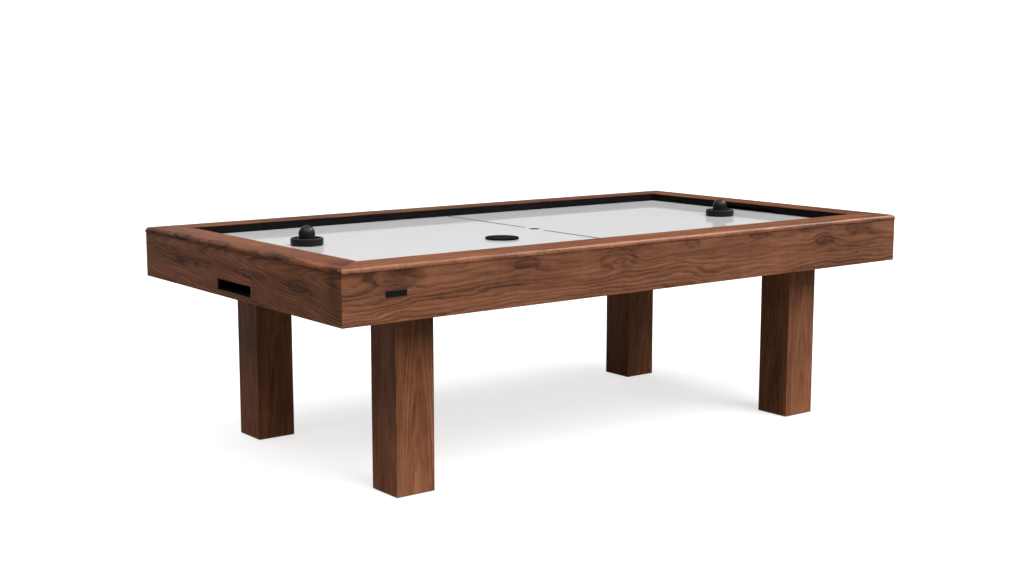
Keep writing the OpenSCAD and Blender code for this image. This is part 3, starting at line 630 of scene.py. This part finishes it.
def mitred_board(profile, half_l, half_w, round_r, gap=None, steps=5):
    """Near member of a mitred frame centred on the origin, its ends on the mitre planes.

    profile is a closed list of points: depth behind the outer face, and height. gap is a hole through the
    board: the two places along it and the two heights between which it runs. Those heights are in the profile
    too."""
    bm = bmesh.new()
    ends = [corner_turns(half_l, half_w, round_r, d, steps) for d, z in profile]
    rings = []
    for k in range(steps, -1, -1):
        rings.append([bm.verts.new((-end[k][0], end[k][1], z)) for end, (d, z) in zip(ends, profile)])
    for x in gap[0] if gap else ():
        rings.append([bm.verts.new((x, -(half_w - d), z)) for d, z in profile])
    for k in range(steps + 1):
        rings.append([bm.verts.new((end[k][0], end[k][1], z)) for end, (d, z) in zip(ends, profile)])
    quads = [quad for pair in zip(rings, rings[1:]) for quad in join_loops(bm, *pair)]
    if gap:
        bmesh.ops.delete(bm, geom=[quad for quad in quads if in_gap(quad, gap)], context="FACES_ONLY")
        line_gap(bm, rings, profile, gap)
    bm.faces.new(rings[0])
    bm.faces.new(list(reversed(rings[-1])))
    return bm


def in_gap(quad, gap):
    (x0, x1), (z0, z1) = gap
    xs = [v.co.x for v in quad.verts]
    zs = [v.co.z for v in quad.verts]
    between = x0 - TOUCH < min(xs) and max(xs) < x1 + TOUCH
    upright = max(zs) - min(zs) > TOUCH
    return between and upright and z0 - TOUCH < min(zs) and max(zs) < z1 + TOUCH


def line_gap(bm, rings, profile, gap):
    """Walls of a hole, from the outer face to the inner one."""
    at = {}
    for ring in rings:
        for v, (d, z) in zip(ring, profile):
            for i, x_edge in enumerate(gap[0]):
                for j, z_edge in enumerate(gap[1]):
                    if abs(v.co.x - x_edge) < TOUCH and abs(z - z_edge) < TOUCH:
                        at[i, j, d > 0.0] = v
    around = ((0, 0), (1, 0), (1, 1), (0, 1))
    outer = [at[i, j, False] for i, j in around]
    inner = [at[i, j, True] for i, j in around]
    join_loops(bm, outer, inner)


def soften_gap(bm, half_w, gap, width):
    """Rounds the edges where a hole meets the outer face."""
    (x0, x1), (z0, z1) = gap

    def on_rim(v):
        return (abs(v.co.y + half_w) < TOUCH and x0 - TOUCH < v.co.x < x1 + TOUCH
                and z0 - TOUCH < v.co.z < z1 + TOUCH)
    edges = [edge for edge in bm.edges if all(on_rim(v) for v in edge.verts)]
    bmesh.ops.bevel(bm, geom=edges, offset=width, segments=2, profile=0.5, affect="EDGES", clamp_overlap=True)


def turn_of(side):
    """Rotation that brings a near member round to that side."""
    return Matrix.Rotation(math.radians(TURN[side]), 3, "Z")


def member(side, node):
    """A node's lowest and highest corners, each along its side, out from the middle of the table, and up."""
    lo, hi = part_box(node)
    along, out = (0, 1) if side in ("near", "far") else (1, 0)
    reach = sorted((abs(lo[out]), abs(hi[out])))
    return Vector((lo[along], reach[0], lo.z)), Vector((hi[along], reach[1], hi.z))


# ---------------------------------------------------------------- cabinet

def apron_profile(z0, z1, t, levels):
    """Section of an apron board with softened lower edges. levels are the heights of a hole's edges."""
    outer_edge, outer_chamfer, inner_edge = 1.5 * MM, 0.45 * MM, 1.0 * MM
    return ([(0.0, z0 + outer_edge)] + [(0.0, z) for z in levels] + [(0.0, z1), (t, z1)]
            + [(t, z) for z in reversed(levels)] + [(t, z0 + inner_edge), (t - inner_edge, z0)]
            + [(outer_edge, z0), (outer_chamfer, z0 + outer_chamfer)])


def add_apron(side, node, seed, material, gap=None):
    lo, hi = member(side, node)
    thickness, corner_r, gap_edge = hi.y - lo.y, 3.0 * MM, 0.8 * MM
    profile = apron_profile(lo.z, hi.z, thickness, gap[1] if gap else ())
    bm = mitred_board(profile, hi.x, hi.y, corner_r, gap)
    if gap:
        soften_gap(bm, hi.y, gap, gap_edge)
    bmesh.ops.rotate(bm, verts=bm.verts, cent=(0, 0, 0), matrix=turn_of(side))
    origin = INWARD[side] * -hi.y + UP * (lo.z + hi.z) / 2
    grain(bm, ALONG[side], UP, INWARD[side], origin, seed)
    stand_for(finish_mesh(node + "_board", bm, material), "table", "walnut", node)


def rail_profile(z0, z1, width, bank_t, bank_top, edging_t, lip):
    """Section of a top rail, rounded over outside, with the rebates of its bank and edging inside."""
    r_out, r_in, flat_end, foot, chamfer = 17.0 * MM, 2.0 * MM, 3.0 * MM, 0.5 * MM, 0.15 * MM
    return ([(0.0, z0 + foot), (0.0, z1 - r_out)]
            + arc((r_out, z1 - r_out), r_out, 180, 90, 10)[1:]
            + [(width - r_in - flat_end, z1)]
            + arc((width - r_in, z1 - r_in), r_in, 90, 0, 4)
            + [(width, z1 - lip), (width - edging_t, z1 - lip), (width - edging_t, bank_top),
               (width - bank_t, bank_top), (width - bank_t, z0), (foot, z0), (chamfer, z0 + chamfer)])


def add_rail(side, seed, material):
    node = side + "_top_rail"
    lo, hi = member(side, node)
    bank_lo, bank_hi = member(side, side + "_bank")
    edging_hi = member(side, side + "_edging")[1]
    width, corner_r = hi.y - lo.y, 8.0 * MM
    profile = rail_profile(lo.z, hi.z, width, bank_hi.y - bank_lo.y, bank_hi.z, edging_hi.y - lo.y,
                           hi.z - edging_hi.z)
    bm = mitred_board(profile, hi.x, hi.y, corner_r, steps=8)
    bmesh.ops.rotate(bm, verts=bm.verts, cent=(0, 0, 0), matrix=turn_of(side))
    origin = INWARD[side] * -(hi.y - width / 2) + UP * hi.z
    grain(bm, ALONG[side], INWARD[side], -UP, origin, seed)
    stand_for(finish_mesh(node + "_board", bm, material), "table", "walnut", node)


def add_leg(node, seed, material):
    """Boxed leg of four boards: outer and inner skin around the hollow, with soft arrises."""
    lo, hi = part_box(node)
    half, wall, arris_r, steps = (hi.x - lo.x) / 2, 19.0 * MM, 2.4 * MM, 4
    foot_edge, foot_chamfer, figure_middle, next_board = 1.6 * MM, 0.5 * MM, 350.0 * MM, 0.37
    centre = Vector(((lo.x + hi.x) / 2, (lo.y + hi.y) / 2, 0.0))
    outline = [(0.0, lo.z + foot_edge), (0.0, hi.z), (wall, hi.z), (wall, lo.z), (foot_edge, lo.z),
               (foot_chamfer, lo.z + foot_chamfer)]
    ends = [corner_turns(half, half, arris_r, d, steps) for d, z in outline]
    bm = bmesh.new()

    def ring(turn, k):
        """Points of one board's ring, from its left mitre at -steps to its right one at steps."""
        points = []
        for end, (d, z) in zip(ends, outline):
            x, y = end[abs(k)]
            points.append(turn @ Vector((math.copysign(x, k + 0.5), y, z)) + centre)
        return points

    order = ("near", "right", "far", "left")
    turns = [turn_of(side) for side in order]
    mitres = [[bm.verts.new(point) for point in ring(turn, -steps)] for turn in turns]
    for number, (side, turn) in enumerate(zip(order, turns)):
        between = [[bm.verts.new(point) for point in ring(turn, k)] for k in range(1 - steps, steps)]
        rings = [mitres[number]] + between + [mitres[(number + 1) % len(mitres)]]
        faces = [face for pair in zip(rings, rings[1:]) for face in join_loops(bm, *pair)]
        origin = centre - INWARD[side] * half + UP * figure_middle
        grain(bm, UP, ALONG[side], INWARD[side], origin, seed + next_board * number, faces)
    stand_for(finish_mesh(node + "_boards", bm, material), "table", "walnut", node)


# eyes of each kind of board, in the order that walnut() gives
NEAR_EYES = ((-1.12, 0.062, 0.110, 0.036, 0.022, 0.04), (-1.095, 0.072, 0.050, 0.022, 0.0, 0.22),
             (-0.60, 0.060, 0.060, 0.020, 0.010, 0.08), (-0.188, 0.040, 0.085, 0.040, 0.026, 0.05),
             (-0.18, 0.035, 0.030, 0.012, 0.010, 0.06), (0.164, 0.073, 0.040, 0.020, 0.014, 0.06),
             (0.512, 0.075, 0.050, 0.018, 0.014, 0.10), (0.776, 0.085, 0.060, 0.020, 0.014, 0.20),
             (0.889, 0.034, 0.060, 0.026, 0.018, 0.10), (1.08, 0.066, 0.080, 0.026, 0.020, 0.10))
FAR_EYES = ((-0.9, 0.05, 0.09, 0.03, 0.025, 0.05), (0.1, 0.055, 0.12, 0.03, 0.020, 0.04),
            (0.95, 0.04, 0.07, 0.025, 0.025, 0.08))
END_EYES = ((-0.30, 0.015, 0.16, 0.014, 0.016, 0.08), (0.12, 0.018, 0.13, 0.014, 0.018, 0.08),
            (0.45, 0.016, 0.070, 0.026, 0.014, 0.06), (0.67, 0.04, 0.05, 0.06, 0.0, 0.20))
RAIL_EYES = ((0.65, 0.00, 0.07, 0.08, 0.0, 0.22), (0.30, -0.055, 0.10, 0.022, 0.01, 0.12),
             (-0.12, -0.055, 0.08, 0.022, 0.01, 0.14), (-0.42, -0.050, 0.07, 0.022, 0.01, 0.08))


def build_aprons():
    near = walnut("walnut_near_apron", (0.072, 0.034), ring=15.0 * MM, sway=0.15, taper=0.006, eyes=NEAR_EYES,
                  lines=0.72)
    far = walnut("walnut_far_apron", (0.070, 0.034), sway=0.09, taper=-0.01, eyes=FAR_EYES)
    left = walnut("walnut_left_apron", (0.060, 0.014), ring=12.0 * MM, sway=0.09, taper=-0.12, eyes=END_EYES,
                  polished=True, oil=0.3)
    right = walnut("walnut_right_apron", (0.050, 0.018), sway=0.08, taper=0.12, eyes=END_EYES, polished=True,
                   oil=0.3)
    sleeve_lo, sleeve_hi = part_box("left_slot_sleeve")
    fit = 0.2 * MM
    slot = ((-sleeve_hi.y - fit, sleeve_hi.y + fit), (sleeve_lo.z - fit, sleeve_hi.z + fit))
    power_half_w, power_half_h, power_z = 48.0 * MM, 26.0 * MM, 735.0 * MM
    power = ((-power_half_w, power_half_w), (power_z - power_half_h, power_z + power_half_h))
    add_apron("near", "near_side_apron", 1.0, near)
    add_apron("far", "far_side_apron", 2.0, far, power)
    add_apron("left", "left_end_apron", 3.0, left, slot)
    add_apron("right", "right_end_apron", 4.0, right, slot)


def build_rails():
    pith = (0.05, 0.09)
    near = walnut("walnut_rails", pith, lines=0.8, wrap=0.55, oil=0.7)
    # the far and right rails share a copy of the rail walnut darkened by tint -0.15: painted shade on the
    # same wood
    painted_shade_rails = walnut("walnut_rails_painted_shade", pith, lines=0.8, wrap=0.55, oil=0.8, tint=-0.15)
    # the left rail's rolled-over edge is darkened as painted shade; its eyes and oil are its own figure and
    # colour
    left = walnut("walnut_left_rail", pith, eyes=RAIL_EYES, wrap=0.55, oil=1.1, tint=-0.04, roll_gloss=0.1,
                  roll_painted_shade=0.12)
    for seed, (side, material) in enumerate(zip(SIDES, (near, painted_shade_rails, left, painted_shade_rails)), 5):
        add_rail(side, seed, material)


def build_legs():
    # the legs are darkened towards their tops as painted shade under the aprons
    material = walnut("walnut_legs", (0.02, 0.06), sway=0.06, taper=0.04, tint=0.04, lines=0.7, polished=True,
                      painted_shade_along=0.2)
    for number, corner in enumerate(CORNERS):
        add_leg("leg_" + corner, 10.0 + 2.0 * number, material)


def build_framing():
    for name, axis, edge, nodes in (("pine_along_x", 0, 1.0, ("side_ledgers", "rail_cleats", "plenum_frame")),
                                    ("pine_along_y", 1, 1.5, ("leg_bearers", "mid_bearers")),
                                    ("pine_upright", 2, 1.0, ("corner_blocks", "leg_blocks"))):
        material = pine(name, axis)
        for node in nodes:
            dress(node, material, edge)
    dress("plenum_floor", plywood("birch_plywood"), 0.4)


# ---------------------------------------------------------------- fittings

def build_fixings():
    steel = metal("zinc_plate", (0.62, 0.62, 0.60), rough=0.32)
    dress("foot_nuts", steel, 0.5)
    dress("leg_bolts", steel, 0.5)
    dress("leg_nuts_and_washers", steel, 0.4)
    dress("pan_screws", steel, 0.4)
    dress("motor_shaft", steel, 0.3)
    rubber = moulded("foot_rubber", (0.020, 0.020, 0.021), rough=0.6, grain=700.0, relief=0.08 * MM)
    for corner in CORNERS:
        dress("foot_" + corner, rubber, 1.2, 3)


def build_returns():
    chute = moulded("chute_black", (0.016, 0.016, 0.017), rough=0.5, grain=500.0, relief=0.06 * MM)
    # the slot sleeves are black plastic made near black, darker than the chutes, as painted shade inside the
    # return slots
    sleeve_black_and_shade = moulded("sleeve_black_and_painted_shade", (0.0050, 0.0050, 0.0053), rough=0.6, grain=500.0, relief=0.06 * MM,
                     ior=1.2)
    for side in ("left", "right"):
        dress(side + "_goal_chute", chute, 0.6)
        dress(side + "_slot_sleeve", sleeve_black_and_shade, 0.4)


def build_blower():
    paint = moulded("blower_paint", (0.024, 0.024, 0.026), rough=0.42, grain=1200.0, relief=0.05 * MM,
                    specular=0.4)
    foam = moulded("gasket_foam", (0.045, 0.045, 0.047), rough=0.9, grain=420.0, relief=0.5 * MM,
                   specular=0.1)
    dress("blower_housing", paint, 0.4)
    dress("blower_cover", paint, 0.4)
    dress("blower_gasket", foam)
    dress("intake_guard", metal("guard_wire", (0.58, 0.58, 0.57), rough=0.3), 0.5)
    dress("blower_motor", metal("motor_can", (0.50, 0.51, 0.52), rough=0.34, brushed=1, spots=0.25), 1.2, 3)
    dress("motor_bushings", metal("sintered_bronze", (0.50, 0.32, 0.15), rough=0.5))
    dress("blower_impeller", metal("fan_metal", (0.42, 0.43, 0.44), rough=0.4, spots=0.35))


def build_power():
    coat = moulded("panel_powder_coat", (0.022, 0.022, 0.024), rough=0.5, grain=1600.0, relief=0.06 * MM)
    red = moulded("rocker_red", (0.42, 0.020, 0.014), rough=0.3, grain=1500.0, relief=0.02 * MM, specular=0.5,
                  spread=0.12)
    plate = moulded("plate_black", (0.004, 0.004, 0.0045), rough=0.35, relief=0.02 * MM, ior=1.3)
    dress("power_panel", coat, 0.3)
    dress("power_inlet", moulded("inlet_nylon", (0.015, 0.015, 0.016)), 0.3)
    dress("switch_body", moulded("switch_nylon", (0.015, 0.015, 0.016), rough=0.4), 0.4)
    dress("switch_rocker", red, 0.4)
    dress("motor_lead", moulded("lead_sheath", (0.018, 0.018, 0.018), rough=0.55))
    dress("name_plate", plate, 0.35)


# ---------------------------------------------------------------- rink

def add_field(material):
    """The field panel, with a grid of air holes through its hard skin."""
    lo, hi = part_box("playfield_panel")
    pitch, margin, hole_r, depth, sides = 25.4 * MM, 60.0 * MM, 0.9 * MM, 2.5 * MM, 6
    nx = int((hi.x - lo.x - margin) / pitch) // 2 * 2
    ny = int((hi.y - lo.y - margin) / pitch) // 2 * 2
    bm = bmesh.new()
    top = {(i, j): bm.verts.new(((i - nx / 2) * pitch, (j - ny / 2) * pitch, hi.z))
           for i in range(nx + 1) for j in range(ny + 1)}
    for i in range(nx):
        for j in range(ny):
            x, y = (i + 0.5 - nx / 2) * pitch, (j + 0.5 - ny / 2) * pitch
            rim = circle(bm, x, y, hi.z, hole_r, sides)
            well = circle(bm, x, y, hi.z - depth, hole_r, sides)
            # the rim's first corner lies at +X and its middle one at -X
            middle = sides // 2
            bm.faces.new([top[i, j], top[i + 1, j], rim[0]] + rim[:middle - 1:-1])
            bm.faces.new((top[i, j], rim[middle], top[i, j + 1]))
            bm.faces.new([top[i, j + 1]] + rim[middle::-1] + [top[i + 1, j + 1]])
            bm.faces.new((top[i + 1, j], top[i + 1, j + 1], rim[0]))
            join_loops(bm, rim, well)
            bm.faces.new(well)
    # the border out to the edge of the panel, its sides and its underside
    plan = ((lo.x, lo.y), (hi.x, lo.y), (hi.x, hi.y), (lo.x, hi.y))
    outer = [bm.verts.new((x, y, hi.z)) for x, y in plan]
    under = [bm.verts.new((x, y, lo.z)) for x, y in plan]
    runs = ([top[i, 0] for i in range(nx + 1)], [top[nx, j] for j in range(ny + 1)],
            [top[i, ny] for i in range(nx, -1, -1)], [top[0, j] for j in range(ny, -1, -1)])
    for k, run in enumerate(runs):
        bm.faces.new([outer[k], outer[(k + 1) % len(outer)]] + run[::-1])
    join_loops(bm, outer, under)
    bm.faces.new(under)
    stand_for(finish_mesh("field_sheet", bm, material), "table", "white_laminate", "playfield_panel")


def add_markings(material):
    """A thin centre line, broken around a plain dot."""
    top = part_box("playfield_panel")[1].z
    rink_half = -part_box("near_bank")[1].y - 0.5 * MM
    film, line_half, clear, dot_r, dot_sides = 0.06 * MM, 6.5 * MM, 58.0 * MM, 22.0 * MM, 48
    bm = bmesh.new()

    def slab(outline):
        low = [bm.verts.new((x, y, top)) for x, y in outline]
        high = [bm.verts.new((x, y, top + film)) for x, y in outline]
        bm.faces.new(low[::-1])
        bm.faces.new(high)
        join_loops(bm, low, high)

    for y0, y1 in ((-rink_half, -clear), (clear, rink_half)):
        slab(((-line_half, y0), (line_half, y0), (line_half, y1), (-line_half, y1)))
    slab(arc((0.0, 0.0), dot_r, 0.0, 360.0, dot_sides)[:-1])
    stand_for(finish_mesh("field_markings", bm, material), "table", "black_bank")


def build_rink():
    lining = moulded("lining_black", (0.0058, 0.0058, 0.0058), rough=0.42, grain=600.0, relief=0.03 * MM,
                     ior=1.08)
    ink = moulded("marking_ink", (0.008, 0.008, 0.009), rough=0.35, grain=600.0, relief=0.01 * MM, ior=1.05)
    for side in SIDES:
        dress(side + "_bank", lining, 0.8)
        dress(side + "_edging", lining, 0.5)
    add_field(laminate("field_white"))
    add_markings(ink)


# ---------------------------------------------------------------- mallets and puck

def mallet_section(r, height):
    """Half section: base with a rolled rim, finger moat, and a straight-sided knob with a ball top."""
    foot, moat, knob_r, root_r = 2.0 * MM, 12.4 * MM, 29.5 * MM, 6.0 * MM
    rim_r, rim_z, lip_r, lip_z, lip_in = 3.1 * MM, 23.5 * MM, 1.8 * MM, 24.8 * MM, 6.2 * MM
    foot_edge = ((1.5, 0.0), (0.4, 0.5), (0.0, 1.6))
    moat_side = ((9.1, 21.0), (10.9, 16.6), (12.9, 13.6), (15.9, moat / MM))
    points = [(0.0, foot)]
    points += [(r - inset * MM, foot + rise * MM) for inset, rise in foot_edge]
    points += arc((r - rim_r, rim_z), rim_r, 0, 90, 6)
    points += arc((r - lip_in, lip_z), lip_r, 90, 165, 3)
    points += [(r - inset * MM, z * MM) for inset, z in moat_side]
    points += arc((knob_r + root_r, moat + root_r), root_r, 270, 180, 6)
    points += arc((0.0, height - knob_r), knob_r, 0, 90, 20)
    return points


def add_mallet(side, material):
    lo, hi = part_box(side + "_mallet_shell")
    felt_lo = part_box(side + "_mallet_felt")[0]
    centre = ((lo.x + hi.x) / 2, (lo.y + hi.y) / 2, felt_lo.z)
    section = mallet_section((hi.x - lo.x) / 2, hi.z - felt_lo.z)
    piece = lathe(side + "_mallet_turned", section, centre, material)
    stand_for(piece, side + "_mallet", "mallet_black", side + "_mallet_shell")


def add_puck(material):
    """Disc with rounded edges and a raised rim around its top."""
    lo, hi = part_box("puck")
    r, thickness, edge_r = (hi.x - lo.x) / 2, hi.z - lo.z, 1.4 * MM
    rim_w, step_w, step_h = 7.0 * MM, 0.6 * MM, 0.4 * MM
    profile = [(0.0, 0.0)]
    profile += arc((r - edge_r, edge_r), edge_r, -90, 0, 4)
    profile += arc((r - edge_r, thickness - edge_r), edge_r, 0, 90, 4)
    profile += [(r - rim_w, thickness), (r - rim_w - step_w, thickness - step_h), (0.0, thickness - step_h)]
    centre = ((lo.x + hi.x) / 2, (lo.y + hi.y) / 2, lo.z)
    stand_for(lathe("puck_disc", profile, centre, material, 160), "puck", "puck_black", "puck")


def build_play():
    shell = moulded("mallet_black", (0.0070, 0.0070, 0.0073), rough=0.42, grain=1500.0, relief=0.03 * MM,
                    specular=0.25, ior=1.35)
    disc = moulded("puck_black", (0.0058, 0.0056, 0.0058), rough=0.55, grain=1200.0, relief=0.03 * MM,
                   specular=0.5, ior=1.03)
    pad = felt("felt_grey", (0.045, 0.045, 0.048))
    for side in ("left", "right"):
        add_mallet(side, shell)
        dress(side + "_mallet_felt", pad, 0.4)
    add_puck(disc)


# ---------------------------------------------------------------- build

build_studio()
build_aprons()
build_rails()
build_legs()
build_framing()
build_fixings()
build_returns()
build_blower()
build_power()
build_rink()
build_play()

bpy.context.view_layer.update()
